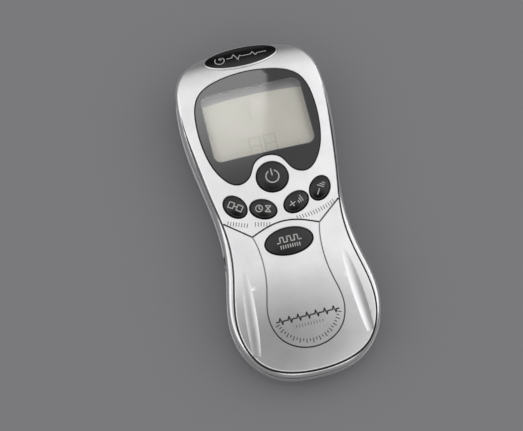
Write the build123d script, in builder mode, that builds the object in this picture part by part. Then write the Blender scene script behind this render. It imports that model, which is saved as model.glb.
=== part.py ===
from build123d import *
from math import asin, degrees, sqrt
import os

os.makedirs("parts", exist_ok=True)

# A hand-held two-channel nerve and muscle stimulator, in millimetres.
# X runs across it, +Y towards its head, where the badge and the output sockets are, and +Z out of its face.
# The flat back lies on z = 0.

# Driving dimensions
SEAM_Z = 11.0  # where the two covers meet
FACE_Z = 22.4  # the face's highest line
CROWN_R = 260.0  # the face's curve across its width
HEAD_ROLL_Y = 50.0  # beyond this the face rolls down to the head's end
HEAD_ROLL_R = 26.0
TAIL_ROLL_Y = -25.0  # beyond this the face falls gently to the tail
TAIL_ROLL_R = 130.0
BEAD_START_Y = 46.0  # the bead round the edge grows out of the face here
BEAD_FULL_Y = 22.0
BEAD_DROP = 0.8  # the bead below the face
GROOVE_DROP = 1.9  # the groove between them below the face
COVER_SET_IN = 0.4  # the front cover inside the rear one at the seam
SEAM_LINE_H, SEAM_LINE_IN = 0.5, 0.9  # the shadow line round the rear cover's mouth
LIP = 0.3  # rounding of the openings in the face
WALL = 1.8
FACE_WALL = 2.5
FLOOR = 1.8
RIM_FILLET = 1.9
FIT = 0.3  # between pieces that move apart
SEAT = 0.1  # between pieces that only sit beside each other

# The waisted body from above, right half, from the head's end to the tail's
BODY_HALF = [
    (0, 67.3), (15, 65.3), (25.8, 59.2), (30.2, 44), (28.6, 18.5), (25, -8),
    (26.5, -27), (29.1, -42.5), (26.2, -56), (15.5, -66.6), (0, -69.2),
]
# The raised face's edge, right half: buried round the head, then beside the bead
FACE_HEAD_HALF = [(0, 64.5), (17, 60.8), (25.5, 54)]
FACE_HALF = [
    (28.3, 45.5), (27.4, 24), (24.6, 4), (22.2, -13), (23.2, -27),
    (26.1, -43), (25.3, -52.5), (19.6, -62), (10.5, -66.2), (0, -67.3),
]
# The lines on the face, right half: from the face's edge to a corner, over the mode button, and the tongue
SHOULDER_HALF = [(22.6, -6.4), (13.1, -14.2), (9.4, -12.7), (5, -11.3), (0, -10.7)]
TONGUE_HALF = [(13.1, -14.2), (11.6, -23), (12.6, -35.5), (14.4, -45), (11.8, -53.8), (0, -59.3)]
# The shallow flute down each flank
FLUTE_FROM, FLUTE_TO = (19.0, -17), (22.4, -60)
FLUTE_R, FLUTE_DEPTH, FLUTE_LEAD = 8.0, 0.2, 0.15
BADGE_Y = 61.3
BADGE_A, BADGE_B = 14.6, 5.2
BEZEL = 1.1
BEZEL_LIFT = 0.5
PLATE_DEPTH = 0.3
BEAD_GROOVE_W, SHOULDER_W, TONGUE_W = 1.1, 0.65, 0.5
LINE_DEPTH = 0.8

# The display window's outline, right half: its foot curls round the power button
LENS_HALF = [
    (0, 53.6), (9.8, 52.6), (20.5, 47.6), (23.9, 36), (23.2, 23.5), (19.6, 12.8),
    (13, 7.4), (8.6, 9.3), (5.3, 14.6), (0, 16.7),
]
LENS_FLOOR_Z = 19.9
LENS_RIM = 1.5
LENS_GAP = 0.25
WINDOW_X, WINDOW_LOW_Y, WINDOW_HIGH_Y = 20.6, 18.0, 47.5
WINDOW_R = 3.4

# Each button: centre, half-lengths of its opening, and how far its long axis is turned
BUTTONS = {
    "power": (0, 7.6, 6.3, 6.3, 0),
    "channel": (-16.65, -0.9, 5.3, 3.85, -55),
    "time": (-6.45, -4.35, 5.4, 3.85, -26),
    "stronger": (6.45, -4.35, 5.4, 3.85, 26),
    "weaker": (16.65, -0.9, 5.3, 3.85, 55),
    "mode": (0, -18.9, 9.45, 5.35, 0),
}
CAP_FOOT_Z = 17.8
CAP_FLANGE = 0.8
CAP_FLANGE_OVER = 0.1
CAP_PROUD = 1.25
CAP_DOME = 0.7
CAP_EDGE = 0.6

# Circuit board and what stands on it
BOARD_LOW_Z, BOARD_HIGH_Z = 13.8, 15.0
BOARD_X, BOARD_LOW_Y, BOARD_HIGH_Y = 20.0, -31.0, 56.0
SWITCH = 6.0
SWITCH_H = 1.5
STEM_R, STEM_FOOT_Z = 1.5, 15.9
GLASS_X, GLASS_LOW_Y, GLASS_HIGH_Y = 22.4, 15.4, 48.6
GLASS_LOW_Z, GLASS_HIGH_Z = 17.0, 18.8

# Battery bay: three AAA cells side by side
CELL_R, CELL_BODY, CELL_NUB = 5.15, 43.3, 1.2
CELL_PITCH = 10.5
CELL_Z = 7.3
BAY_X = 15.85
BAY_LOW_Y, BAY_HIGH_Y = -61.6, -11.0
BAY_ROOF_Z = 12.7
BAY_WALL = 0.8
CONTACT = 0.4
SPRING_R, SPRING_WIRE = 3.0, 0.3
DOOR_TOP_Z = 1.8
DOOR_HIGH_Y = -9.0
TONGUE_Z = 1.0
TONGUE_X = 16.7

# Sockets: two 2.5 mm outputs in the head's end and a 3.5 x 1.3 mm supply inlet in the left side
JACK_X, JACK_Z = 7.0, 11.0
JACK_HALF_W, JACK_DROP, INLET_HALF_W = 3.3, 2.8, 3.2
JACK_BORE_R, JACK_NOSE_R = 1.3, 2.4
JACK_FRONT_Y, JACK_BACK_Y, JACK_MOUTH_Y = 63.8, 53.4, 67.1
INLET_Y = -18.9
INLET_BORE_R, INLET_PIN_R, INLET_NOSE_R = 1.8, 0.65, 2.6
INLET_BACK_X, INLET_FRONT_X, INLET_MOUTH_X = -17.0, -23.0, -25.0
INLET_PIN, INLET_WALL = 6.0, 0.8

BACK_FILLET = 6.5
DOOR_X, DOOR_LOW_Z = 15.6, 0.3
DOOR_RIDGES = 5
LABEL_X, LABEL_LOW_Y, LABEL_HIGH_Y, LABEL_T = 17.0, 14.0, 42.0, 0.15
SCREW_HEAD_R, SCREW_HEAD, SCREW_SEAT_Z = 2.2, 1.5, 3.6
SCREW_R, SCREW_L = 1.1, 10.5
CROSS_HALF_L, CROSS_HALF_W, CROSS_DEPTH = 1.3, 0.25, 0.7
BOARD_SCREW_R, BOARD_SCREW_L, BOARD_HEAD_R, BOARD_HEAD = 0.9, 4.0, 1.5, 1.2
CASE_BOSS_R, CASE_PILOT_R, CASE_POST_R, CASE_HOLE_R = 2.6, 1.15, 3.3, 1.35
BOARD_BOSS_R, BOARD_PILOT_R, BOARD_HOLE_R, BOARD_CORNER = 2.1, 0.95, 1.2, 2.0
THROUGH = 20.0  # longer than any cut needs
CASE_SCREWS = [(-22.9, 53), (22.9, 53), (-22, -51.5), (22, -51.5)]
BOARD_SCREWS = [(-17.5, 52), (17.5, 52), (-18.3, -27), (18.3, -27)]

# Components under the board: places, sizes and how far each hangs down
CHIP_HALF, CHIP_Y, CHIP_H = 5.0, 35.0, 1.5
PINS, PIN_PITCH, PIN_HALF_W, PIN_L, PIN_H = 11, 0.8, 0.15, 1.1, 0.7
CRYSTAL_AT, CRYSTAL_L, CRYSTAL_W, CRYSTAL_H = (10.5, 35.0), 9.0, 3.4, 2.6
CORE_X, CORE_Y, CORE_H = (-16, -5), (8, 18), 8.0
WINDING_X, WINDING_Y, WINDING_H = (-17, -4), (10.5, 15.5), 9.0
CAPACITORS_AT, CAPACITOR_R, CAPACITOR_H = [(3, 4), (10.5, 4), (15, 12), (-14, 24)], 3.0, 8.0
TRANSISTORS_X, TRANSISTOR_Y, TRANSISTOR_HALF_W = (-2, 3.5, 9), (18, 21), 2.2
TRANSISTOR_LOW, TRANSISTOR_HIGH, LEG_PITCH, LEG_HALF_W, LEG_Y = 5.5, 1.2, 1.27, 0.2, (19.3, 19.7)
RESISTOR_ROWS, RESISTOR_COLUMNS, RESISTOR_FIRST = 3, 5, (-17.0, 29.0)
RESISTOR_PITCH, RESISTOR_W, RESISTOR_L, RESISTOR_H = (2.6, 3.2), 1.2, 2.0, 0.5
REFLECTOR_IN_X, REFLECTOR_IN_Y, REFLECTOR_LOW_Z = 1.5, 3.2, 16.3
STRIP_X, STRIP_W = 18.0, 2.0
LEAD_R, LEAD_BEND, LEAD_Z, LEAD_Y, LEAD_X = 0.65, 2.5, 6.0, -4.5, 8.0
NUB_R = 1.9
CONTACT_HALF_W, CONTACT_Z = 4.4, (3, 11.6)


def save(builder, label):
    """Name a finished piece and write it."""
    builder.part.label = label
    export_step(builder.part, f"parts/{label}.step")


def crown_z(x, y):
    """The face's height at a point below the head's roll."""
    past = max(0.0, TAIL_ROLL_Y - y)
    return FACE_Z - x * x / (2 * CROWN_R) - TAIL_ROLL_R + sqrt(TAIL_ROLL_R**2 - past**2)


def space_above(head_lift, waist_drop):
    """The space above the face, lifted on the head and dropped from the waist down."""
    half_width, depth = 40.0, 30.0
    step = head_lift + waist_drop
    head_arc = degrees(asin(20.5 / HEAD_ROLL_R))
    tail_arc = degrees(asin(48.0 / TAIL_ROLL_R))
    with BuildPart() as space:
        with BuildLine(Plane.YZ) as spine:
            head = CenterArc(
                (HEAD_ROLL_Y, FACE_Z - HEAD_ROLL_R), HEAD_ROLL_R + head_lift, 90 - head_arc, head_arc
            )
            if step > 0 and waist_drop > 0:
                level = Line(head @ 1, (BEAD_START_Y, FACE_Z + head_lift))
                run = BEAD_START_Y - BEAD_FULL_Y
                radius = (run**2 + step**2) / (4 * step)
                turn = degrees(asin(run / 2 / radius))
                over = JernArc(level @ 1, level % 1, radius, turn)
                under = JernArc(over @ 1, over % 1, radius, -turn)
                last = Line(under @ 1, (TAIL_ROLL_Y, FACE_Z - waist_drop))
            else:
                last = Line(head @ 1, (TAIL_ROLL_Y, FACE_Z - waist_drop))
            CenterArc(
                (TAIL_ROLL_Y, FACE_Z - TAIL_ROLL_R), TAIL_ROLL_R - waist_drop, 90, tail_arc
            )
        start = Plane(origin=head @ 0, x_dir=(1, 0, 0), z_dir=head % 0)
        sag = half_width**2 / (2 * CROWN_R)
        with BuildSketch(start):
            with BuildLine():
                crown = ThreePointArc((-half_width, -sag), (0, 0), (half_width, -sag))
                Polyline(crown @ 1, (half_width, depth), (-half_width, depth), crown @ 0)
            make_face()
        sweep(path=spine.line)
    return space.part


def whole(half):
    """All round points of an outline, from its right half."""
    return half + [(-x, y) for x, y in half[-2:0:-1]]


def drawn_in(half, inset):
    """A half outline's points moved inwards by inset, square to the curve through them."""
    curve = Spline(*whole(half), periodic=True, mode=Mode.PRIVATE)
    inwards = [curve.tangent_at(Vector(*point)).rotate(Axis.Z, -90) for point in half]
    return [(x + way.X * inset, y + way.Y * inset) for (x, y), way in zip(half, inwards)]


def outline(height, half, inset=0.0):
    """The closed smooth outline through a right half's points, drawn in by inset."""
    with BuildSketch(Plane.XY.offset(height)) as plan:
        with BuildLine():
            Spline(*whole(drawn_in(half, inset)), periodic=True)
        make_face()
    return plan.sketch


def boss_plan(height, inset):
    """The badge's boss from above."""
    with BuildSketch(Plane.XY.offset(height)) as plan:
        with Locations((0, BADGE_Y)):
            Ellipse(BADGE_A + BEZEL - inset, BADGE_B + BEZEL - inset)
    return plan.sketch


def rim(part, above):
    """The edges round the top of a part, without the joints that cross its face."""
    return part.edges().filter_by(
        lambda e: e.bounding_box().min.Z > above and e.bounding_box().size.Y > 2.5
    )


def ellipses(height, grow, names=tuple(BUTTONS)):
    """The button openings from above, grown all round."""
    with BuildSketch(Plane.XY.offset(height)) as plan:
        for name in names:
            x, y, a, b, turn = BUTTONS[name]
            with Locations((x, y)):
                Ellipse(a + grow, b + grow, rotation=turn)
    return plan.sketch


def discs(height, centres, radius):
    """A round at each of the centres."""
    with BuildSketch(Plane.XY.offset(height)) as plan:
        with Locations(*centres):
            Circle(radius)
    return plan.sketch


def block(x_range, y_range, z_range, mode=Mode.ADD):
    """A box between two corners, given by its three ranges."""
    low, high = zip(x_range, y_range, z_range)
    with Locations(low):
        Box(*[b - a for a, b in zip(low, high)], align=(Align.MIN,) * 3, mode=mode)


def rod(start, way, radius, length, mode=Mode.ADD):
    """A round bar, or a hole, from a point along a direction."""
    with Locations(Plane(origin=start, z_dir=way)):
        Cylinder(radius, length, align=(Align.CENTER, Align.CENTER, Align.MIN), mode=mode)


def on_opening(edge):
    """True of an edge in the face that runs round the display seat or a button's opening."""
    middle = edge @ 0.5
    foot = Vector(middle.X, middle.Y, 0)
    return middle.Z > LENS_FLOOR_Z + 1 and min(line.distance_to(foot) for line in OPENING_LINES) < 0.01


def side_holes(mode=Mode.SUBTRACT):
    """The openings that the seam splits: two at the head and one in the left side."""
    for side in (-1, 1):
        rod((side * JACK_X, JACK_FRONT_Y - 1, JACK_Z), (0, 1, 0), JACK_NOSE_R + FIT / 2, 7, mode)
    rod((INLET_FRONT_X + 1, INLET_Y, JACK_Z), (-1, 0, 0), INLET_NOSE_R + FIT / 2, 7, mode)


def flute(side):
    """A long shallow scallop down one flank: a round bar that dips into the face and leaves it again."""
    (x1, y1), (x2, y2) = FLUTE_FROM, FLUTE_TO
    x3, y3 = (x1 + x2) / 2, (y1 + y2) / 2
    heights = (FLUTE_LEAD, -FLUTE_DEPTH, FLUTE_LEAD)
    points = [
        (side * x, y, crown_z(x, y) + above + FLUTE_R)
        for (x, y), above in zip(((x1, y1), (x3, y3), (x2, y2)), heights)
    ]
    with BuildPart() as scallop:
        with BuildLine() as spine:
            ThreePointArc(*points)
        with BuildSketch(Plane(origin=spine.line @ 0, z_dir=spine.line % 0)):
            Circle(FLUTE_R)
        sweep(path=spine.line)
    return scallop.part


OPENING_LINES = [*outline(0, LENS_HALF).edges(), *ellipses(0, 0).edges()]
above_face = space_above(0, 0)
flutes = [flute(-1), flute(1)]

# ---------------------------------------------------------------- front cover
with BuildPart() as bead_body:
    add(outline(SEAM_Z, BODY_HALF, COVER_SET_IN))
    extrude(amount=FACE_Z)
    add(space_above(0.02, BEAD_DROP), mode=Mode.SUBTRACT)
    fillet(rim(bead_body.part, SEAM_Z + 0.5), RIM_FILLET)

with BuildPart() as bead_groove:
    with BuildSketch(Plane.XY.offset(SEAM_Z + 0.5)):
        with BuildLine():
            Spline(*FACE_HALF, *[(-x, y) for x, y in FACE_HALF[-2::-1]])
        trace(line_width=BEAD_GROOVE_W)
    extrude(amount=FACE_Z)
    add(space_above(0.06, GROOVE_DROP), mode=Mode.INTERSECT)

with BuildPart() as face_pad:
    add(outline(SEAM_Z + 1.5, FACE_HEAD_HALF + FACE_HALF))
    extrude(amount=FACE_Z)
    add(above_face, mode=Mode.SUBTRACT)
    fillet(rim(face_pad.part, SEAM_Z + 2.0), 0.5)

with BuildPart() as badge_boss:
    add(boss_plan(SEAM_Z, COVER_SET_IN))
    extrude(amount=FACE_Z)
    add(space_above(BEZEL_LIFT, -BEZEL_LIFT), mode=Mode.SUBTRACT)
    fillet(badge_boss.faces().sort_by(Axis.Z)[-1].edges(), 0.4)

with BuildPart() as panel_grooves:
    with BuildSketch(Plane.XY.offset(SEAM_Z + 1.5)):
        with BuildLine():
            shoulder = Line(SHOULDER_HALF[0], SHOULDER_HALF[1])
            brow = Spline(*SHOULDER_HALF[1:], *[(-x, y) for x, y in SHOULDER_HALF[-2:0:-1]])
            mirror(shoulder, about=Plane.YZ)
        trace(line_width=SHOULDER_W)
        with BuildLine():
            Spline(*TONGUE_HALF, *[(-x, y) for x, y in TONGUE_HALF[-2::-1]])
        trace(line_width=TONGUE_W)
    extrude(amount=FACE_Z)
    add(space_above(-LINE_DEPTH, LINE_DEPTH), mode=Mode.INTERSECT)

with BuildPart() as hollow:
    add(outline(SEAM_Z - 1, BODY_HALF, COVER_SET_IN + WALL))
    add(boss_plan(SEAM_Z - 1, COVER_SET_IN + WALL))
    extrude(amount=FACE_Z)
    add(space_above(-FACE_WALL, FACE_WALL), mode=Mode.SUBTRACT)
    # the seat round the display stays solid
    add(outline(GLASS_HIGH_Z + 2 * SEAT, LENS_HALF, -LENS_RIM))
    extrude(amount=THROUGH, mode=Mode.SUBTRACT)
    # bosses for the case's screws and the circuit board's
    add(discs(SEAM_Z - 1, CASE_SCREWS, CASE_BOSS_R))
    extrude(amount=THROUGH, mode=Mode.SUBTRACT)
    add(discs(BOARD_HIGH_Z, BOARD_SCREWS, BOARD_BOSS_R))
    extrude(amount=THROUGH, mode=Mode.SUBTRACT)

with BuildPart() as badge_seat:
    with BuildSketch(Plane.XY.offset(SEAM_Z + 2)):
        with Locations((0, BADGE_Y)):
            Ellipse(BADGE_A, BADGE_B)
    extrude(amount=FACE_Z)
    add(space_above(-PLATE_DEPTH, PLATE_DEPTH), mode=Mode.INTERSECT)

with BuildPart() as front_cover:
    add(bead_body.part)
    add(bead_groove.part, mode=Mode.SUBTRACT)
    add(face_pad.part)
    add(badge_boss.part)
    add(panel_grooves.part, mode=Mode.SUBTRACT)
    for wheel in flutes:
        add(wheel, mode=Mode.SUBTRACT)
    add(hollow.part, mode=Mode.SUBTRACT)
    # display seat and window
    add(outline(LENS_FLOOR_Z, LENS_HALF))
    extrude(amount=THROUGH, mode=Mode.SUBTRACT)
    with BuildSketch(Plane.XY.offset(SEAM_Z)):
        with Locations((0, (WINDOW_LOW_Y + WINDOW_HIGH_Y) / 2)):
            RectangleRounded(2 * WINDOW_X, WINDOW_HIGH_Y - WINDOW_LOW_Y, WINDOW_R)
    extrude(amount=THROUGH, mode=Mode.SUBTRACT)
    add(badge_seat.part, mode=Mode.SUBTRACT)
    add(ellipses(SEAM_Z, 0))
    extrude(amount=THROUGH, mode=Mode.SUBTRACT)
    fillet(front_cover.edges().filter_by(on_opening), LIP)
    add(discs(SEAM_Z - 1, CASE_SCREWS, CASE_PILOT_R))
    extrude(amount=SCREW_SEAT_Z + SCREW_L + 2 - SEAM_Z, mode=Mode.SUBTRACT)
    add(discs(BOARD_LOW_Z, BOARD_SCREWS, BOARD_PILOT_R))
    extrude(amount=BOARD_SCREW_L + 0.4, mode=Mode.SUBTRACT)
    side_holes()

save(front_cover, "front_cover")

# ----------------------------------------------------------------- rear cover
with BuildPart() as tub:
    add(outline(0, BODY_HALF))
    extrude(amount=SEAM_Z)
    fillet(tub.edges().group_by(Axis.Z)[0], BACK_FILLET)

with BuildPart() as boss_tub:
    add(boss_plan(BACK_FILLET, 0))
    extrude(amount=SEAM_Z - BACK_FILLET)

with BuildPart() as inside:
    add(outline(FLOOR, BODY_HALF, WALL))
    extrude(amount=SEAM_Z)
    fillet(inside.edges().group_by(Axis.Z)[0], BACK_FILLET - WALL)
    add(boss_plan(FLOOR + BACK_FILLET, WALL))
    extrude(amount=SEAM_Z - FLOOR - BACK_FILLET)

with BuildPart() as seam_line:
    add(outline(SEAM_Z - SEAM_LINE_H, BODY_HALF, -1))
    add(boss_plan(SEAM_Z - SEAM_LINE_H, -1))
    extrude(amount=SEAM_LINE_H)
    add(outline(SEAM_Z - SEAM_LINE_H, BODY_HALF, SEAM_LINE_IN))
    add(boss_plan(SEAM_Z - SEAM_LINE_H, SEAM_LINE_IN))
    extrude(amount=SEAM_LINE_H, mode=Mode.SUBTRACT)

with BuildPart() as rear_cover:
    add(tub.part)
    add(boss_tub.part)
    add(inside.part, mode=Mode.SUBTRACT)
    add(seam_line.part, mode=Mode.SUBTRACT)
    # battery bay, standing up into the front cover's space
    block((-BAY_X - BAY_WALL, BAY_X + BAY_WALL), (BAY_LOW_Y - BAY_WALL, BAY_HIGH_Y + BAY_WALL),
          (FLOOR, BAY_ROOF_Z + BAY_WALL))
    block((-BAY_X, BAY_X), (BAY_LOW_Y, BAY_HIGH_Y), (-1, BAY_ROOF_Z), Mode.SUBTRACT)
    # posts for the case's screws
    add(discs(FLOOR, CASE_SCREWS, CASE_POST_R))
    extrude(amount=SEAM_Z - FLOOR - SEAT)
    add(discs(0, CASE_SCREWS, CASE_HOLE_R))
    extrude(amount=SEAM_Z, mode=Mode.SUBTRACT)
    add(discs(0, CASE_SCREWS, SCREW_HEAD_R + FIT))
    extrude(amount=SCREW_SEAT_Z, mode=Mode.SUBTRACT)
    # the door's way out through the tail, and the grooves for its tongues
    block((-DOOR_X - FIT, DOOR_X + FIT), (-80, DOOR_HIGH_Y + FIT), (-1, DOOR_TOP_Z + FIT), Mode.SUBTRACT)
    block((-TONGUE_X - FIT, TONGUE_X + FIT), (-80, DOOR_HIGH_Y - 2), (TONGUE_Z - FIT, DOOR_TOP_Z + FIT),
          Mode.SUBTRACT)
    # a shallow seat for the rating label
    block((-LABEL_X, LABEL_X), (LABEL_LOW_Y, LABEL_HIGH_Y), (-1, LABEL_T + SEAT), Mode.SUBTRACT)
    side_holes()
save(rear_cover, "rear_cover")

with BuildPart() as door_way:
    block((-DOOR_X, DOOR_X), (-80, DOOR_HIGH_Y), (DOOR_LOW_Z, DOOR_TOP_Z))
    block((-TONGUE_X, TONGUE_X), (-80, DOOR_HIGH_Y - 2 - FIT), (TONGUE_Z, DOOR_TOP_Z))
with BuildPart() as battery_door:
    add(tub.part)
    add(door_way.part, mode=Mode.INTERSECT)
    # finger ridges and an arrow that points the way it slides
    for ridge in range(DOOR_RIDGES):
        y = DOOR_HIGH_Y - 5 - 1.6 * ridge
        block((-6, 6), (y - 0.4, y + 0.4), (0, DOOR_LOW_Z + 0.5), Mode.SUBTRACT)
    with BuildSketch(Plane.XY):
        with Locations((0, DOOR_HIGH_Y - 17)):
            Triangle(a=7, b=5.2, c=5.2, rotation=180)
    extrude(amount=DOOR_LOW_Z + 0.4, mode=Mode.SUBTRACT)
save(battery_door, "battery_door")

with BuildPart() as rating_label:
    block((-LABEL_X + SEAT, LABEL_X - SEAT), (LABEL_LOW_Y + SEAT, LABEL_HIGH_Y - SEAT),
          (SEAT, SEAT + LABEL_T - 0.05))
save(rating_label, "rating_label")

# -------------------------------------------------------- display and badge
with BuildPart() as display_lens:
    add(outline(LENS_FLOOR_Z + SEAT, LENS_HALF, LENS_GAP))
    extrude(amount=THROUGH)
    add(above_face, mode=Mode.SUBTRACT)
    fillet(rim(display_lens.part, LENS_FLOOR_Z + 0.8), 0.25)
save(display_lens, "display_lens")

with BuildPart() as badge_plate:
    with BuildSketch(Plane.XY.offset(SEAM_Z + 2)):
        with Locations((0, BADGE_Y)):
            Ellipse(BADGE_A - SEAT, BADGE_B - SEAT)
    extrude(amount=FACE_Z)
    add(space_above(-PLATE_DEPTH, PLATE_DEPTH), mode=Mode.INTERSECT)
    add(space_above(BEZEL_LIFT - 0.1, 0.1 - BEZEL_LIFT), mode=Mode.SUBTRACT)
save(badge_plate, "badge_plate")

with BuildPart() as lcd_glass:
    block((-GLASS_X, GLASS_X), (GLASS_LOW_Y, GLASS_HIGH_Y), (GLASS_LOW_Z, GLASS_HIGH_Z))
    fillet(lcd_glass.edges().filter_by(Axis.Z), 0.6)
save(lcd_glass, "lcd_glass")

with BuildPart() as lcd_reflector:
    width, low, high = GLASS_X - REFLECTOR_IN_X, GLASS_LOW_Y + REFLECTOR_IN_Y, GLASS_HIGH_Y - REFLECTOR_IN_Y
    block((-width, width), (low, high), (REFLECTOR_LOW_Z, GLASS_LOW_Z - SEAT))
save(lcd_reflector, "lcd_reflector")

with BuildPart() as contact_strips:
    for y in (GLASS_LOW_Y + CONTACT, GLASS_HIGH_Y - CONTACT - STRIP_W):
        block((-STRIP_X, STRIP_X), (y, y + STRIP_W), (BOARD_HIGH_Z, GLASS_LOW_Z))
save(contact_strips, "contact_strips")

# -------------------------------------------------------------------- buttons
for name, (x, y, a, b, turn) in BUTTONS.items():
    top = crown_z(abs(x), y) + CAP_PROUD
    dome_r = a * b / (2 * CAP_DOME)
    with BuildPart() as cap:
        add(ellipses(CAP_FOOT_Z, -FIT, (name,)))
        extrude(amount=THROUGH)
        with Locations((x, y, top - dome_r)):
            Sphere(dome_r, rotation=(90, 0, 0), mode=Mode.INTERSECT)
        fillet(cap.faces().sort_by(Axis.Z)[-1].edges(), CAP_EDGE)
        add(ellipses(CAP_FOOT_Z, CAP_FLANGE_OVER, (name,)))
        extrude(amount=CAP_FLANGE)
    save(cap, f"{name}_button")
    with BuildPart() as stem:
        rod((x, y, STEM_FOOT_Z), (0, 0, 1), STEM_R, CAP_FOOT_Z - STEM_FOOT_Z)
        chamfer(stem.edges().group_by(Axis.Z)[0], 0.2)
    save(stem, f"{name}_plunger")

with BuildPart() as tact_switches:
    for x, y, *_ in BUTTONS.values():
        block((x - SWITCH / 2, x + SWITCH / 2), (y - SWITCH / 2, y + SWITCH / 2),
              (BOARD_HIGH_Z, BOARD_HIGH_Z + SWITCH_H))
        rod((x, y, BOARD_HIGH_Z + 0.2), (0, 0, 1), STEM_R + FIT, SWITCH_H, Mode.SUBTRACT)
save(tact_switches, "tact_switches")

# -------------------------------------------------------------- circuit board
with BuildPart() as main_board:
    block((-BOARD_X, BOARD_X), (BOARD_LOW_Y, BOARD_HIGH_Y), (BOARD_LOW_Z, BOARD_HIGH_Z))
    fillet(main_board.edges().filter_by(Axis.Z), BOARD_CORNER)
    add(discs(BOARD_LOW_Z, BOARD_SCREWS, BOARD_HOLE_R))
    extrude(amount=THROUGH, mode=Mode.SUBTRACT)
save(main_board, "main_board")

with BuildPart() as board_screws:
    add(discs(BOARD_LOW_Z - BOARD_HEAD, BOARD_SCREWS, BOARD_HEAD_R))
    extrude(amount=BOARD_HEAD)
    add(discs(BOARD_LOW_Z, BOARD_SCREWS, BOARD_SCREW_R))
    extrude(amount=BOARD_SCREW_L)
save(board_screws, "board_screws")

with BuildPart() as case_screws:
    add(discs(SCREW_SEAT_Z - SCREW_HEAD, CASE_SCREWS, SCREW_HEAD_R))
    extrude(amount=SCREW_HEAD)
    add(discs(SCREW_SEAT_Z, CASE_SCREWS, SCREW_R))
    extrude(amount=SCREW_L)
    head_z = SCREW_SEAT_Z - SCREW_HEAD
    for x, y in CASE_SCREWS:
        for across, along in ((CROSS_HALF_L, CROSS_HALF_W), (CROSS_HALF_W, CROSS_HALF_L)):
            block((x - across, x + across), (y - along, y + along),
                  (head_z - 1, head_z + CROSS_DEPTH), Mode.SUBTRACT)
save(case_screws, "case_screws")

with BuildPart() as microcontroller:
    block((-CHIP_HALF, CHIP_HALF), (CHIP_Y - CHIP_HALF, CHIP_Y + CHIP_HALF),
          (BOARD_LOW_Z - CHIP_H, BOARD_LOW_Z))
    for k in range(PINS):
        x = (k - (PINS - 1) / 2) * PIN_PITCH
        for side_y in (CHIP_Y - CHIP_HALF - PIN_L, CHIP_Y + CHIP_HALF):
            block((x - PIN_HALF_W, x + PIN_HALF_W), (side_y, side_y + PIN_L),
                  (BOARD_LOW_Z - PIN_H, BOARD_LOW_Z))
save(microcontroller, "microcontroller")

with BuildPart() as crystal:
    with BuildSketch(Plane.XY.offset(BOARD_LOW_Z - CRYSTAL_H)):
        with Locations(CRYSTAL_AT):
            SlotOverall(CRYSTAL_L, CRYSTAL_W, rotation=90)
    extrude(amount=CRYSTAL_H)
save(crystal, "crystal")

with BuildPart() as pulse_transformer:
    block(CORE_X, CORE_Y, (BOARD_LOW_Z - CORE_H, BOARD_LOW_Z))
    fillet(pulse_transformer.edges().filter_by(Axis.Z), 0.8)
    block(WINDING_X, WINDING_Y, (BOARD_LOW_Z - WINDING_H, BOARD_LOW_Z - FIT))
save(pulse_transformer, "pulse_transformer")

with BuildPart() as capacitors:
    for x, y in CAPACITORS_AT:
        rod((x, y, BOARD_LOW_Z), (0, 0, -1), CAPACITOR_R, CAPACITOR_H)
    fillet(capacitors.edges().group_by(Axis.Z)[0], 0.5)
save(capacitors, "capacitors")

with BuildPart() as transistors:
    for x in TRANSISTORS_X:
        block((x - TRANSISTOR_HALF_W, x + TRANSISTOR_HALF_W), TRANSISTOR_Y,
              (BOARD_LOW_Z - TRANSISTOR_LOW, BOARD_LOW_Z - TRANSISTOR_HIGH))
        for leg in (-1, 0, 1):
            middle = x + leg * LEG_PITCH
            block((middle - LEG_HALF_W, middle + LEG_HALF_W), LEG_Y,
                  (BOARD_LOW_Z - TRANSISTOR_HIGH, BOARD_LOW_Z))
save(transistors, "transistors")

with BuildPart() as resistors:
    for row in range(RESISTOR_ROWS):
        for column in range(RESISTOR_COLUMNS):
            x = RESISTOR_FIRST[0] + RESISTOR_PITCH[0] * row
            y = RESISTOR_FIRST[1] + RESISTOR_PITCH[1] * column
            block((x, x + RESISTOR_W), (y, y + RESISTOR_L), (BOARD_LOW_Z - RESISTOR_H, BOARD_LOW_Z))
save(resistors, "resistors")

# -------------------------------------------------------------------- sockets
for letter, side in (("a", -1), ("b", 1)):
    x = side * JACK_X
    with BuildPart() as jack:
        block((x - JACK_HALF_W, x + JACK_HALF_W), (JACK_BACK_Y, JACK_FRONT_Y - FIT),
              (JACK_Z - JACK_DROP, BOARD_LOW_Z))
        rod((x, JACK_FRONT_Y - 1, JACK_Z), (0, 1, 0), JACK_NOSE_R, JACK_MOUTH_Y - JACK_FRONT_Y + 1)
        rod((x, JACK_MOUTH_Y, JACK_Z), (0, -1, 0), JACK_BORE_R, 11.5, Mode.SUBTRACT)
    save(jack, f"output_jack_{letter}")

with BuildPart() as supply_inlet:
    block((INLET_FRONT_X + 2 * FIT, INLET_BACK_X), (INLET_Y - INLET_HALF_W, INLET_Y + INLET_HALF_W),
          (JACK_Z - JACK_DROP, BOARD_LOW_Z))
    rod((INLET_FRONT_X + 1, INLET_Y, JACK_Z), (-1, 0, 0), INLET_NOSE_R, INLET_FRONT_X - INLET_MOUTH_X + 1)
    bore = INLET_BACK_X - INLET_WALL - INLET_MOUTH_X
    rod((INLET_MOUTH_X, INLET_Y, JACK_Z), (1, 0, 0), INLET_BORE_R, bore, Mode.SUBTRACT)
    rod((INLET_BACK_X - INLET_WALL, INLET_Y, JACK_Z), (-1, 0, 0), INLET_PIN_R, INLET_PIN)
save(supply_inlet, "supply_inlet")

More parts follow.
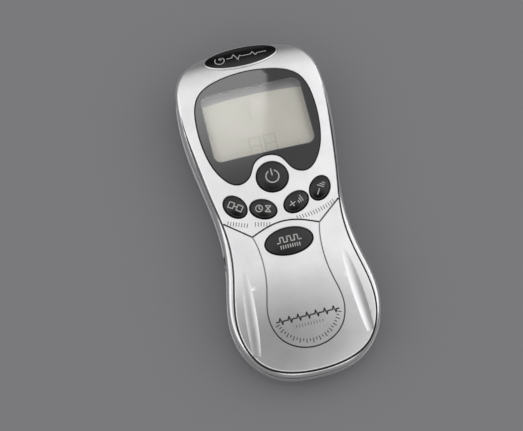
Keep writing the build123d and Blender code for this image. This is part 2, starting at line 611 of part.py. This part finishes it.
# ---------------------------------------------------------------- battery bay
for k in range(3):
    x = (k - 1) * CELL_PITCH
    nub_up = k != 1
    nub_y = BAY_HIGH_Y - CONTACT - SEAT if nub_up else BAY_LOW_Y + CONTACT + SEAT
    way = -1 if nub_up else 1
    with BuildPart() as cell:
        rod((x, nub_y + way * CELL_NUB, CELL_Z), (0, way, 0), CELL_R, CELL_BODY)
        fillet(cell.edges(), 0.5)
        rod((x, nub_y, CELL_Z), (0, way, 0), NUB_R, CELL_NUB + 0.5)
    save(cell, f"cell_{k + 1}")

with BuildPart() as battery_contacts:
    for k in range(3):
        x = (k - 1) * CELL_PITCH
        for low_y in (BAY_LOW_Y, BAY_HIGH_Y - CONTACT):
            block((x - CONTACT_HALF_W, x + CONTACT_HALF_W), (low_y, low_y + CONTACT), CONTACT_Z)
save(battery_contacts, "battery_contacts")

SPRING_LENGTH = BAY_HIGH_Y - BAY_LOW_Y - 2 * CONTACT - CELL_BODY - CELL_NUB - 3 * SEAT
with BuildPart() as battery_springs:
    for k in range(3):
        way = -1 if k == 1 else 1
        seat_y = BAY_HIGH_Y - CONTACT if k == 1 else BAY_LOW_Y + CONTACT
        with BuildLine() as coil:
            Helix(
                pitch=(SPRING_LENGTH - 3 * SPRING_WIRE) / 3, height=SPRING_LENGTH - 3 * SPRING_WIRE,
                radius=SPRING_R, center=((k - 1) * CELL_PITCH, seat_y + way * 1.5 * SPRING_WIRE, CELL_Z),
                direction=(0, way, 0),
            )
        with BuildSketch(Plane(origin=coil.line @ 0, z_dir=coil.line % 0)):
            Circle(SPRING_WIRE)
        sweep(path=coil.line, is_frenet=True)
save(battery_springs, "battery_springs")

for colour, x in (("red", LEAD_X), ("black", -LEAD_X)):
    with BuildPart() as lead:
        with BuildLine(Plane.YZ.offset(x)) as route:
            FilletPolyline(
                (BAY_HIGH_Y + BAY_WALL + SEAT, LEAD_Z), (LEAD_Y, LEAD_Z), (LEAD_Y, BOARD_LOW_Z),
                radius=LEAD_BEND,
            )
        with BuildSketch(Plane(origin=route.line @ 0, z_dir=route.line % 0)):
            Circle(LEAD_R)
        sweep(path=route.line)
    save(lead, f"battery_lead_{colour}")
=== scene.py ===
"""TENS unit: materials, printed marks, floor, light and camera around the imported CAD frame."""

import math

import bmesh
import bpy
from mathutils import Matrix, Vector
from mathutils.bvhtree import BVHTree


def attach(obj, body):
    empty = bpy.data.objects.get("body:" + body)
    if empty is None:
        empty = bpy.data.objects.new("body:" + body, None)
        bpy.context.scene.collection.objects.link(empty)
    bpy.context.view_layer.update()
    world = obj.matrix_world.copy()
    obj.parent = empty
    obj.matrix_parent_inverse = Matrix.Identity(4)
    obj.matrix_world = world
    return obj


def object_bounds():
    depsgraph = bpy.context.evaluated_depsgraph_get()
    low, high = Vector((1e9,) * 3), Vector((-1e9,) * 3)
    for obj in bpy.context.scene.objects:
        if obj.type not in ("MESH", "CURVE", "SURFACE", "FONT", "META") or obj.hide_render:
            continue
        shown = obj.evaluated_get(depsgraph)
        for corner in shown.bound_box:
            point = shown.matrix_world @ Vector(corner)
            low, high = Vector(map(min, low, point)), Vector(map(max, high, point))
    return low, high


MM = 0.001

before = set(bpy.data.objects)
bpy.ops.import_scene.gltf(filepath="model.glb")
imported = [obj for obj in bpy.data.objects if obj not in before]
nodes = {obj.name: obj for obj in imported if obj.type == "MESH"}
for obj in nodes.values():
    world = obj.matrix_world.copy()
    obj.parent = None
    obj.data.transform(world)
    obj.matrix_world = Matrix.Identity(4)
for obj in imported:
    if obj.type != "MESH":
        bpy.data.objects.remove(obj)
cad_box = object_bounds()

# Camera --------------------------------------------------------------------------------------------------
TARGET = Vector((-6.9, -3.3, 11.7)) * MM
DISTANCE = 429 * MM
AZIMUTH = math.radians(-13.6)
ELEVATION = math.radians(72)
FOCAL = 75.7


def seen_from(azimuth, elevation):
    """Unit vector from the object to a viewer; azimuth 0 stands on the -Y side."""
    flat = math.cos(elevation)
    return Vector((math.sin(azimuth) * flat, -math.cos(azimuth) * flat, math.sin(elevation)))


back = seen_from(AZIMUTH, ELEVATION)
lens = bpy.data.cameras.new("camera")
lens.lens = FOCAL
lens.sensor_width = 36
lens.clip_start = 0.01
camera = bpy.data.objects.new("camera", lens)
camera.location = TARGET + back * DISTANCE
camera.rotation_euler = (-back).to_track_quat("-Z", "Y").to_euler()
bpy.context.scene.collection.objects.link(camera)
bpy.context.scene.camera = camera


# Node helpers --------------------------------------------------------------------------------------------
def grey(level):
    """Linear value of an 8-bit display level."""
    share = level / 255
    return share / 12.92 if share <= 0.04045 else ((share + 0.055) / 1.055) ** 2.4


def tint(red, green, blue):
    return (grey(red), grey(green), grey(blue), 1)


def scaled(colour, factor):
    return (*(min(1, part * factor) for part in colour[:3]), 1)


class Finish:
    """A material with a Principled shader and short calls that add its nodes."""

    def __init__(self, name, roughness, metallic=0.0, ior=1.5):
        self.material = bpy.data.materials.new(name)
        self.material.use_nodes = True
        self.tree = self.material.node_tree
        self.shader = self.tree.nodes["Principled BSDF"]
        self.shader.inputs["Roughness"].default_value = roughness
        self.shader.inputs["Metallic"].default_value = metallic
        self.shader.inputs["IOR"].default_value = ior
        self.place = self.add("ShaderNodeTexCoord").outputs["Object"]

    def add(self, kind, **settings):
        node = self.tree.nodes.new(kind)
        for key, value in settings.items():
            setattr(node, key, value)
        return node

    def link(self, source, target):
        self.tree.links.new(source, target)

    def math(self, operation, first, second=0.0, clamp=False):
        node = self.add("ShaderNodeMath", operation=operation, use_clamp=clamp)
        for socket, value in zip(node.inputs, (first, second)):
            if isinstance(value, (int, float)):
                socket.default_value = value
            else:
                self.link(value, socket)
        return node.outputs[0]

    def noise(self, size, detail=2.0, stretch=(1, 1, 1)):
        """Noise whose features are about size metres across."""
        mapping = self.add("ShaderNodeMapping")
        mapping.inputs["Scale"].default_value = stretch
        self.link(self.place, mapping.inputs["Vector"])
        node = self.add("ShaderNodeTexNoise")
        node.inputs["Scale"].default_value = 1 / size
        node.inputs["Detail"].default_value = detail
        self.link(mapping.outputs[0], node.inputs["Vector"])
        return node.outputs["Fac"]

    def flakes(self, size):
        """Random grey level for each cell of about size metres."""
        node = self.add("ShaderNodeTexVoronoi")
        node.inputs["Scale"].default_value = 1 / size
        self.link(self.place, node.inputs["Vector"])
        split = self.add("ShaderNodeSeparateColor")
        self.link(node.outputs["Color"], split.inputs[0])
        return split.outputs[0]

    def ramp(self, factor, *stops):
        """Colour ramp with (position, colour) stops."""
        node = self.add("ShaderNodeValToRGB")
        marks = node.color_ramp.elements
        while len(marks) < len(stops):
            marks.new(0.5)
        for mark, (position, colour) in zip(marks, stops):
            mark.position = position
            mark.color = colour
        self.link(factor, node.inputs["Fac"])
        return node.outputs["Color"]

    def between(self, factor, low, high):
        """Number that runs from low to high as the factor runs from 0 to 1."""
        node = self.add("ShaderNodeMapRange")
        node.inputs["To Min"].default_value = low
        node.inputs["To Max"].default_value = high
        self.link(factor, node.inputs["Value"])
        return node.outputs[0]

    def mix(self, factor, first, second):
        node = self.add("ShaderNodeMix", data_type="RGBA")
        self.link(factor, node.inputs["Factor"])
        for socket, value in ((node.inputs["A"], first), (node.inputs["B"], second)):
            if isinstance(value, tuple):
                socket.default_value = value
            else:
                self.link(value, socket)
        return node.outputs["Result"]

    def crevice(self, reach):
        """From 0 deep in a gap or groove up to 1 in the open, as far as reach metres around can close it in."""
        node = self.add("ShaderNodeAmbientOcclusion", samples=8)
        node.inputs["Distance"].default_value = reach
        return node.outputs["AO"]

    def colour(self, source):
        self.link(source, self.shader.inputs["Base Color"])

    def rough(self, source):
        self.link(source, self.shader.inputs["Roughness"])

    def bump(self, height, depth, strength=1.0):
        """Bump depth metres deep."""
        node = self.add("ShaderNodeBump")
        node.inputs["Strength"].default_value = strength
        node.inputs["Distance"].default_value = depth
        self.link(height, node.inputs["Height"])
        self.link(node.outputs[0], self.shader.inputs["Normal"])


def moulded(name, colour, roughness, metallic=0.0, spread=0.12, size=4 * MM, grain=0.15 * MM, depth=0.004 * MM,
            ior=1.5):
    """Plain plastic, rubber or metal: soft cloudiness, uneven gloss and a fine grain."""
    finish = Finish(name, roughness, metallic, ior)
    cloud = finish.noise(size, 4)
    fine = finish.noise(grain, 3)
    blend = finish.math("MULTIPLY_ADD", fine, 0.35)
    finish.link(cloud, blend.node.inputs[2])
    finish.colour(finish.ramp(blend, (0.35, scaled(colour, 1 - spread)), (1.0, scaled(colour, 1 + spread))))
    finish.rough(finish.between(cloud, roughness * 0.85, roughness * 1.2))
    finish.bump(fine, depth)
    return finish


# Materials -----------------------------------------------------------------------------------------------
def silver():
    """Silver paint over moulded plastic: fine bright and dark flakes under a satin coat, with painted shade darkening
    its grooves and gaps.
    """
    finish = Finish("silver_plastic", 0.3, 0.85)
    flake = finish.flakes(0.11 * MM)
    cloud = finish.noise(9 * MM, 3)
    shade = finish.math("MULTIPLY_ADD", flake, 0.45)
    finish.link(cloud, shade.node.inputs[2])
    paint = finish.ramp(shade, (0.3, tint(224, 223, 224)), (0.95, tint(242, 241, 241)))
    # Painted shade: the base colour darkens towards black in grooves and gaps found by an occlusion ray test,
    # standing in for the shade that falls there.
    open_air = finish.ramp(finish.crevice(1.3 * MM), (0.3, (0, 0, 0, 1)), (0.85, (1, 1, 1, 1)))
    split = finish.add("ShaderNodeSeparateXYZ")
    finish.link(finish.place, split.inputs[0])
    # The painted shade is mid grey in the tongue's grooves between y -44 and -14.5 mm, and fades to near black below
    # -57 mm and outside the tongue.
    sides = finish.add("ShaderNodeMapRange")
    sides.inputs["From Min"].default_value = -57 * MM
    sides.inputs["From Max"].default_value = -44 * MM
    finish.link(split.outputs[1], sides.inputs["Value"])
    tongue = finish.math("LESS_THAN", finish.math("ABSOLUTE", split.outputs[0]), 15.5 * MM)
    tongue = finish.math("MULTIPLY", tongue, finish.math("LESS_THAN", split.outputs[1], -14.5 * MM))
    shadow = finish.mix(finish.math("MULTIPLY", tongue, sides.outputs[0]), tint(44, 44, 48), tint(140, 140, 143))
    finish.colour(finish.mix(open_air, shadow, paint))
    finish.rough(finish.between(finish.noise(4 * MM, 3), 0.27, 0.31))
    finish.bump(finish.noise(0.3 * MM, 2), 0.0004 * MM)
    return finish.material


def black_key():
    """Glossy black key cap with light handling marks."""
    finish = moulded("black_key", tint(13, 13, 14), 0.27, spread=0.25, size=2.5 * MM, depth=0.0015 * MM, ior=1.5)
    smear = finish.noise(1.6 * MM, 5, (1, 3, 1))
    finish.rough(finish.between(smear, 0.08, 0.16))
    return finish.material


WINDOW_HALF = Vector((20.0, 14.1)) * MM
WINDOW_MIDDLE = Vector((0.0, 32.3)) * MM
WINDOW_CORNER = 3.2 * MM


def window_distance(finish):
    """Distance outside the rounded window opening, in millimetres, negative inside."""
    split = finish.add("ShaderNodeSeparateXYZ")
    finish.link(finish.place, split.inputs[0])
    past = []
    for axis in (0, 1):
        offset = finish.math("SUBTRACT", split.outputs[axis], WINDOW_MIDDLE[axis])
        reach = finish.math("ABSOLUTE", offset)
        inner = WINDOW_HALF[axis] - WINDOW_CORNER
        past.append(finish.math("MAXIMUM", finish.math("SUBTRACT", reach, inner), 0.0))
    squares = [finish.math("POWER", one, 2) for one in past]
    length = finish.math("SQRT", finish.math("ADD", *squares))
    return finish.math("MULTIPLY", finish.math("SUBTRACT", length, WINDOW_CORNER), 1 / MM)


def window():
    """Clear window with a dark glossy printed border, and a painted highlight as a pale line where the print ends,
    standing in for the opening's edge catching light.
    """
    finish = Finish("window", 0.05, 0.0, 1.52)
    away = window_distance(finish)
    edge = finish.math("MULTIPLY_ADD", away, 8.0, clamp=True)
    edge.node.inputs[2].default_value = 0.5
    # Painted highlight: a pale line along the window's edge, standing in for the edge catching light.
    line = finish.math("SUBTRACT", 1.0, finish.math("MULTIPLY", finish.math("ABSOLUTE", away), 3.2), clamp=True)
    dust = finish.noise(0.5 * MM, 4)
    border = finish.ramp(dust, (0.3, tint(24, 24, 25)), (0.8, tint(30, 30, 31)))
    finish.colour(finish.mix(finish.math("MULTIPLY", line, 0.5), border, tint(150, 150, 148)))
    finish.rough(finish.between(dust, 0.03, 0.08))

    clear = finish.add("ShaderNodeBsdfPrincipled")
    clear.inputs["Metallic"].default_value = 1.0
    clear.inputs["Roughness"].default_value = 0.09
    clear.inputs["Base Color"].default_value = (0.9, 0.9, 0.88, 1)
    facing = finish.add("ShaderNodeLayerWeight")
    facing.inputs["Blend"].default_value = 0.25
    height = finish.add("ShaderNodeSeparateXYZ")
    finish.link(finish.place, height.inputs[0])
    top = finish.math("GREATER_THAN", height.outputs[2], 21 * MM)
    gloss = finish.between(facing.outputs["Fresnel"], 0.05, 0.6)
    finish.link(finish.math("MULTIPLY", gloss, top), clear.inputs["Alpha"])
    choice = finish.add("ShaderNodeMixShader")
    finish.link(finish.math("MULTIPLY", edge, top), choice.inputs[0])
    finish.link(clear.outputs[0], choice.inputs[1])
    finish.link(finish.shader.outputs[0], choice.inputs[2])
    finish.link(choice.outputs[0], finish.tree.nodes["Material Output"].inputs["Surface"])
    return finish.material


def liquid_crystal():
    """Pale reflective display with a painted shadow as a grey strip along its head edge, where the window's top edge
    shades it.
    """
    finish = Finish("lcd", 0.35)
    split = finish.add("ShaderNodeSeparateXYZ")
    finish.link(finish.place, split.inputs[0])
    bow = finish.math("MULTIPLY", finish.math("POWER", split.outputs[0], 2), 3.0)
    height = finish.math("ADD", split.outputs[1], bow)
    # Painted shadow: a grey band along the head edge, bowed with x, standing in for the shade cast by the window's
    # top edge.
    strip = finish.add("ShaderNodeMapRange", interpolation_type="SMOOTHSTEP")
    strip.inputs["From Min"].default_value = 44.2 * MM
    strip.inputs["From Max"].default_value = 45.0 * MM
    finish.link(height, strip.inputs["Value"])
    cloud = finish.noise(9 * MM, 3)
    cream = finish.ramp(cloud, (0.35, tint(207, 205, 190)), (0.7, tint(213, 210, 199)))
    finish.colour(finish.mix(strip.outputs[0], cream, tint(150, 150, 152)))
    finish.rough(finish.between(finish.noise(0.4 * MM), 0.4, 0.5))
    return finish.material


def circuit_board():
    """Green board with darker tracks."""
    finish = Finish("board", 0.4)
    tracks = finish.add("ShaderNodeTexBrick")
    tracks.inputs["Scale"].default_value = 1.0
    tracks.inputs["Brick Width"].default_value = 6 * MM
    tracks.inputs["Row Height"].default_value = 1.3 * MM
    tracks.inputs["Mortar Size"].default_value = 0.25 * MM
    tracks.inputs["Color1"].default_value = tint(28, 96, 52)
    tracks.inputs["Color2"].default_value = tint(34, 104, 58)
    tracks.inputs["Mortar"].default_value = tint(54, 132, 78)
    finish.link(finish.place, tracks.inputs["Vector"])
    finish.colour(tracks.outputs["Color"])
    finish.rough(finish.between(finish.noise(1.5 * MM, 3), 0.32, 0.48))
    finish.bump(tracks.outputs["Fac"], 0.02 * MM)
    return finish.material


def cell_wrap():
    """Battery sleeve: plain grey body with a copper-coloured band at one end of each cell."""
    finish = Finish("cell_wrap", 0.3, 0.2)
    split = finish.add("ShaderNodeSeparateXYZ")
    finish.link(finish.place, split.inputs[0])
    band = finish.math("GREATER_THAN", split.outputs[1], -32 * MM)
    fine = finish.noise(0.3 * MM, 2)
    sleeve = finish.ramp(fine, (0.3, tint(60, 62, 66)), (0.8, tint(74, 76, 80)))
    finish.colour(finish.mix(band, sleeve, tint(176, 120, 76)))
    finish.rough(finish.between(fine, 0.25, 0.38))
    finish.bump(fine, 0.004 * MM)
    return finish.material


SLOTS = {
    "silver_plastic": silver(),
    "black_key": black_key(),
    "window": window(),
    "badge_black": moulded("badge_black", tint(16, 16, 18), 0.14, spread=0.3, size=3 * MM, depth=0.001 * MM).material,
    "lcd": liquid_crystal(),
    "board": circuit_board(),
    "cell_wrap": cell_wrap(),
    "label": moulded("label", tint(196, 197, 200), 0.5, 0.5, spread=0.05, size=2 * MM).material,
    "white_nylon": moulded("white_nylon", tint(226, 225, 218), 0.5).material,
    "reflector": moulded("reflector", tint(236, 236, 232), 0.35).material,
    "elastomer": moulded("elastomer", tint(128, 132, 136), 0.7).material,
    "steel": moulded("steel", tint(190, 190, 192), 0.3, 1.0, size=1.5 * MM).material,
    "chip": moulded("chip", tint(34, 34, 36), 0.55).material,
    "ferrite": moulded("ferrite", tint(52, 50, 48), 0.65).material,
    "can": moulded("can", tint(48, 60, 92), 0.35).material,
    "switch": moulded("switch", tint(52, 52, 54), 0.5).material,
    "socket": moulded("socket", tint(30, 30, 31), 0.45).material,
    "red_lead": moulded("red_lead", tint(170, 30, 26), 0.45).material,
    "black_lead": moulded("black_lead", tint(24, 24, 25), 0.45).material,
}

for node in nodes.values():
    for place in node.material_slots:
        stem = place.material.name.split(".")[0]
        place.material = SLOTS.get(stem, SLOTS["silver_plastic"])

# Printed marks -------------------------------------------------------------------------------------------
INK = 0.03 * MM  # how far a mark stands out of its surface, and how far it reaches in
ABOVE_ALL = 40  # millimetres, higher than any surface
LIGHT_INK = moulded("light_ink", tint(176, 176, 172), 0.5, spread=0.06, size=1 * MM).material
DARK_INK = moulded("dark_ink", tint(34, 34, 36), 0.5, spread=0.1, size=1 * MM).material
GREY_INK = moulded("grey_ink", tint(74, 74, 76), 0.5, spread=0.08, size=1 * MM).material
GHOST = moulded("ghost_segment", tint(184, 181, 168), 0.5, spread=0.02, size=1 * MM).material


def line(*points):
    """Straight strokes from point to point."""
    return [[Vector(a), Vector(b)] for a, b in zip(points, points[1:])]


def arc(centre, radius, start, end, steps=24):
    """One curved stroke, with its angles in degrees."""
    turns = (math.radians(start + (end - start) * i / steps) for i in range(steps + 1))
    return [[Vector(centre) + radius * Vector((math.cos(turn), math.sin(turn))) for turn in turns]]


def placed(strokes, centre, turn=0.0):
    """The strokes turned by so many degrees, then moved to the centre."""
    spin = Matrix.Rotation(math.radians(turn), 2)
    return [[spin @ point + Vector(centre) for point in stroke] for stroke in strokes]


def ticks(start, end, count, length, bow=0.0):
    """A row of short strokes across the way from start to end, which bows sideways in its middle."""
    start, end = Vector(start), Vector(end)
    way = (end - start).normalized()
    side = Vector((-way.y, way.x))
    row = []
    for i in range(count):
        share = i / (count - 1)
        middle = start.lerp(end, share) + side * bow * 4 * share * (1 - share)
        row.append([middle - side * length / 2, middle + side * length / 2])
    return row


def surface(node):
    """Search tree of a CAD node's surface."""
    mesh = nodes[node].data
    points = [nodes[node].matrix_world @ corner.co for corner in mesh.vertices]
    return BVHTree.FromPolygons(points, [list(face.vertices) for face in mesh.polygons])


def ribbon(shape, tree, stroke, width):
    """Closed strip of ink along a stroke given in millimetres, round at both ends and pressed onto the surface."""
    radius = width / 2
    lengths = [0.0]
    for a, b in zip(stroke, stroke[1:]):
        lengths.append(lengths[-1] + (b - a).length)
    total = lengths[-1]
    steps = max(2, math.ceil(total / 0.25))
    round_end = [radius * math.sin(math.radians(angle)) for angle in (85, 65, 42, 20)]
    stations = [-past for past in round_end] + [total * i / steps for i in range(steps + 1)]
    stations += [total + past for past in reversed(round_end)]
    rows = []
    for station in stations:
        leg = next((i for i in range(1, len(lengths) - 1) if station < lengths[i]), len(lengths) - 1)
        way = (stroke[leg] - stroke[leg - 1]).normalized()
        middle = stroke[leg - 1] + way * (station - lengths[leg - 1])
        past = max(-station, station - total, 0.0)
        side = Vector((-way.y, way.x)) * math.sqrt(radius**2 - past**2)
        row = []
        for spot in (middle + side, middle - side):
            hit = tree.ray_cast(Vector((spot.x, spot.y, ABOVE_ALL)) * MM, Vector((0, 0, -1)))[0]
            row += [shape.verts.new(hit + Vector((0, 0, INK))), shape.verts.new(hit - Vector((0, 0, INK)))]
        rows.append(row)
    for (a, b, c, d), (e, f, g, h) in zip(rows, rows[1:]):
        for corners in ((a, c, g, e), (b, f, h, d), (a, e, f, b), (c, d, h, g)):
            shape.faces.new(corners)
    for a, b, c, d in (rows[0], rows[-1]):
        shape.faces.new((a, b, d, c))


def printed(name, node, strokes, width, ink, body="case"):
    """One printed mark on a CAD node, riding with its body."""
    tree = surface(node)
    shape = bmesh.new()
    for stroke in strokes:
        ribbon(shape, tree, stroke, width)
    bmesh.ops.recalc_face_normals(shape, faces=shape.faces)
    mesh = bpy.data.meshes.new(name)
    shape.to_mesh(mesh)
    shape.free()
    mesh.materials.append(ink)
    mark = bpy.data.objects.new(name, mesh)
    bpy.context.scene.collection.objects.link(mark)
    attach(mark, body)


def box_outline(middle, width, height):
    """The four sides of a box."""
    x, y = width / 2, height / 2
    return placed(line((-x, -y), (x, -y), (x, y), (-x, y), (-x, -y)), middle)


def bars(x, heights):
    """Upright bars of these heights on one foot line, from x on."""
    return [stroke for i, h in enumerate(heights) for stroke in line((x + 0.85 * i, -1.2), (x + 0.85 * i, h - 1.2))]


POWER = arc((0, 0), 2.5, 120, 420) + line((0, 0.5), (0, 3.0))
CHANNEL = box_outline((-1.7, 0), 2.0, 2.3) + box_outline((1.7, 0), 2.0, 2.3) + line((-0.7, 0), (0.7, 0))
TIME = arc((-1.7, 0), 1.3, 0, 360) + line((-1.7, 0.8), (-1.7, 0), (-1.1, -0.4))
TIME += line((0.7, 1.2), (2.7, 1.2), (0.7, -1.2), (2.7, -1.2), (0.7, 1.2))
STRONGER = line((-2.8, 0), (-0.6, 0)) + line((-1.7, -1.1), (-1.7, 1.1)) + bars(0.7, (0.9, 1.6, 2.4))
WEAKER = line((-2.8, 0), (-0.6, 0)) + bars(0.7, (2.4, 1.6, 0.9))
PULSES = [(-4.6, -1), (-3.4, -1), (-3.4, 1), (-2.1, 1), (-2.1, -1), (-0.7, -1), (-0.7, 1), (0.7, 1), (0.7, -1),
          (2.1, -1), (2.1, 1), (3.4, 1), (3.4, -1), (4.6, -1)]
MODE = placed(line(*PULSES), (0, 0.9)) + ticks((-3.6, -1.9), (3.6, -1.9), 9, 1.1)
KEY_MARKS = {
    "power": (POWER, (0, 7.4), 0, 0.5),
    "channel": (CHANNEL, (-16.6, -1.1), -35, 0.4),
    "time": (TIME, (-6.4, -4.5), -15, 0.4),
    "stronger": (STRONGER, (6.4, -4.5), 22, 0.4),
    "weaker": (WEAKER, (16.6, -1.1), 58, 0.4),
    "mode": (MODE, (0, -19.2), 0, 0.42),
}
for key, (strokes, centre, turn, width) in KEY_MARKS.items():
    printed(key + "_mark", key + "_button", placed(strokes, centre, turn), width, LIGHT_INK,
            key + "_key")

SCALES = ticks((-20.8, -6.6), (-13.9, -9.3), 8, 1.5) + ticks((-10.8, -9.5), (-5.5, -10.8), 6, 1.5)
SCALES += ticks((5.4, -10.6), (20.4, -7.1), 15, 1.5, -0.9)
printed("key_scales", "front_cover", SCALES, 0.26, GREY_INK)

BEAT = [(0, 0), (1.0, 0), (1.5, 1.2), (2.1, -1.1), (2.5, 0), (3.4, 0)]
BEATS, BEAT_PITCH, TRACE_FROM = 7, 3.4, (-11.9, -47.9)
TRACE = []
for i in range(BEATS):
    TRACE += placed(line(*BEAT), (TRACE_FROM[0] + BEAT_PITCH * i, TRACE_FROM[1]))
printed("tongue_trace", "front_cover", TRACE, 0.5, DARK_INK)
printed("tongue_dots", "front_cover", ticks((-5.0, -50.9), (5.0, -50.9), 10, 0.9), 0.2, GREY_INK)
DIAL_MIDDLE, DIAL_INNER, DIAL_LONG, DIAL_SHORT = Vector((0.0, -44.3)), 12.0, 13.4, 12.8
DIAL_START, DIAL_SPAN, DIAL_STEPS = 202, 136, 24
DIAL = []
for i in range(DIAL_STEPS + 1):
    angle = math.radians(DIAL_START + DIAL_SPAN * i / DIAL_STEPS)
    out = Vector((math.cos(angle), math.sin(angle)))
    DIAL.append([DIAL_MIDDLE + out * DIAL_INNER, DIAL_MIDDLE + out * (DIAL_LONG if i % 2 == 0 else DIAL_SHORT)])
printed("tongue_dial", "front_cover", DIAL, 0.3, DARK_INK)

BADGE = arc((-8.6, 61.2), 1.9, 140, 400) + arc((-8.2, 62.0), 0.5, 0, 360, 12)
BADGE += line((-5.6, 61.3), (-3.6, 61.3), (-2.6, 63.0), (-1.3, 59.7), (-0.3, 61.9), (0.5, 61.3), (4.2, 61.3),
              (5.0, 62.4), (6.0, 60.4), (6.8, 61.3), (10.4, 61.3))
printed("badge_mark", "badge_plate", BADGE, 0.38, LIGHT_INK)

GHOSTS = []
for x in (-2.9, 3.1):
    GHOSTS += box_outline((x, 22.8), 4.4, 7.2) + line((x - 1.9, 22.8), (x + 1.9, 22.8))
GHOSTS += arc((-2.2, 40.6), 1.5, 0, 360) + line((-2.2, 39.1), (-2.2, 33.5)) + line((-4.2, 37.6), (-0.2, 37.6))
printed("display_ghosts", "lcd_glass", GHOSTS, 0.3, GHOST)

# Floor, light --------------------------------------------------------------------------------------------
floor_mesh = bpy.data.meshes.new("floor")
shape = bmesh.new()
bmesh.ops.create_grid(shape, x_segments=1, y_segments=1, size=3.0)
shape.to_mesh(floor_mesh)
shape.free()
floor = bpy.data.objects.new("floor", floor_mesh)
bpy.context.scene.collection.objects.link(floor)
floor.location.z = cad_box[0][2] - 0.0001
floor_finish = moulded("floor", tint(126, 126, 128), 0.7, spread=0.02, size=60 * MM, depth=0.001 * MM)
floor_mesh.materials.append(floor_finish.material)

SKY_LOW, SKY_RING, SKY_TOP, SKY_VIEWER, SKY_BEYOND = 0.08, 1.4, 1.0, 0.1, 0.55
world = bpy.data.worlds.new("studio")
bpy.context.scene.world = world
world.use_nodes = True
sky = world.node_tree
direction = sky.nodes.new("ShaderNodeTexCoord").outputs["Generated"]
parts = sky.nodes.new("ShaderNodeSeparateXYZ")
sky.links.new(direction, parts.inputs[0])


def smooth(tree, source, low, high, start, end):
    """A number that runs smoothly from start to end as the source runs from low to high."""
    node = tree.nodes.new("ShaderNodeMapRange")
    node.interpolation_type = "SMOOTHSTEP"
    for name, value in (("From Min", low), ("From Max", high), ("To Min", start), ("To Max", end)):
        node.inputs[name].default_value = value
    tree.links.new(source, node.inputs["Value"])
    return node.outputs[0]


def times(first, second):
    """Product of two numbers in the sky's node tree."""
    node = sky.nodes.new("ShaderNodeMath")
    node.operation = "MULTIPLY"
    sky.links.new(first, node.inputs[0])
    sky.links.new(second, node.inputs[1])
    return node.outputs[0]


# A bright ring of studio light over a dark horizon, dimmer overhead and dark around the camera
toward = sky.nodes.new("ShaderNodeVectorMath")
toward.operation = "DOT_PRODUCT"
toward.inputs[1].default_value = back
sky.links.new(direction, toward.inputs[0])
ring = smooth(sky, parts.outputs[2], 0.22, 0.58, SKY_LOW, SKY_RING)
crown = smooth(sky, parts.outputs[2], 0.72, 0.95, 1.0, SKY_TOP / SKY_RING)
viewer = smooth(sky, toward.outputs["Value"], 0.84, 0.996, 1.0, SKY_VIEWER)
beyond = smooth(sky, parts.outputs[1], 0.35, 0.75, 1.0, SKY_BEYOND)
glow = times(times(ring, crown), times(viewer, beyond))
sky.links.new(glow, sky.nodes["Background"].inputs["Strength"])
sky.nodes["Background"].inputs["Color"].default_value = (1.0, 1.0, 1.01, 1)


def mirrored(x, y, height):
    """Where the camera sees, reflected by the crowned window at x, y, a card at that height."""
    spot = Vector((x, y, 22.4)) * MM
    normal = Vector((x / 260, 0, 1)).normalized()
    sight = (spot - camera.location).normalized()
    ray = sight - 2 * sight.dot(normal) * normal
    return spot + ray * ((height - spot.z) / ray.z)


# A softbox only the glossy window mirrors: its straight edge crosses the window, and it fades towards the tail
CARD_HEIGHT, CARD_GLOW, CARD_SHARP = 0.60, 3.6, 250.0
head_end = mirrored(8.4, 49.7, CARD_HEIGHT)
tail_end = mirrored(-0.9, 17.1, CARD_HEIGHT)
fade_start = mirrored(-15, 46, CARD_HEIGHT).y
fade_end = mirrored(-15, 2, CARD_HEIGHT).y
left, right = mirrored(-24, 30, CARD_HEIGHT).x - 0.06, head_end.x + 0.02
low, high = fade_end, head_end.y + 0.25
CARD_WIDTH, CARD_LENGTH = right - left, high - low

strip = bpy.data.lights.new("strip", "AREA")
strip.shape = "RECTANGLE"
strip.size = CARD_WIDTH
strip.size_y = CARD_LENGTH
strip.energy = math.pi * CARD_WIDTH * CARD_LENGTH
strip.use_nodes = True
tree = strip.node_tree
split = tree.nodes.new("ShaderNodeSeparateXYZ")
tree.links.new(tree.nodes.new("ShaderNodeNewGeometry").outputs["Position"], split.inputs[0])


def lit(operation, first, second, third=0.0, clamp=False):
    """Sum in the softbox's node tree."""
    node = tree.nodes.new("ShaderNodeMath")
    node.operation = operation
    node.use_clamp = clamp
    for socket, value in zip(node.inputs, (first, second, third)):
        if isinstance(value, float):
            socket.default_value = value
        else:
            tree.links.new(value, socket)
    return node.outputs[0]


slope = (head_end.x - tail_end.x) / (head_end.y - tail_end.y)
reach = lit("MINIMUM", split.outputs[1], head_end.y)
edge = lit("MULTIPLY_ADD", reach, slope, tail_end.x - slope * tail_end.y)
shown = lit("MULTIPLY", lit("SUBTRACT", edge, split.outputs[0]), CARD_SHARP, clamp=True)
fade = smooth(tree, split.outputs[1], fade_end, fade_start, 0.0, CARD_GLOW)
tree.links.new(lit("MULTIPLY", shown, fade), tree.nodes["Emission"].inputs["Strength"])
card = bpy.data.objects.new("strip", strip)
card.location = ((left + right) / 2, (low + high) / 2, CARD_HEIGHT)
bpy.context.scene.collection.objects.link(card)
glossy = bpy.data.collections.new("mirrors_the_strip")
glossy.objects.link(nodes["display_lens"])
card.light_linking.receiver_collection = glossy

bpy.context.scene.view_settings.view_transform = "Standard"
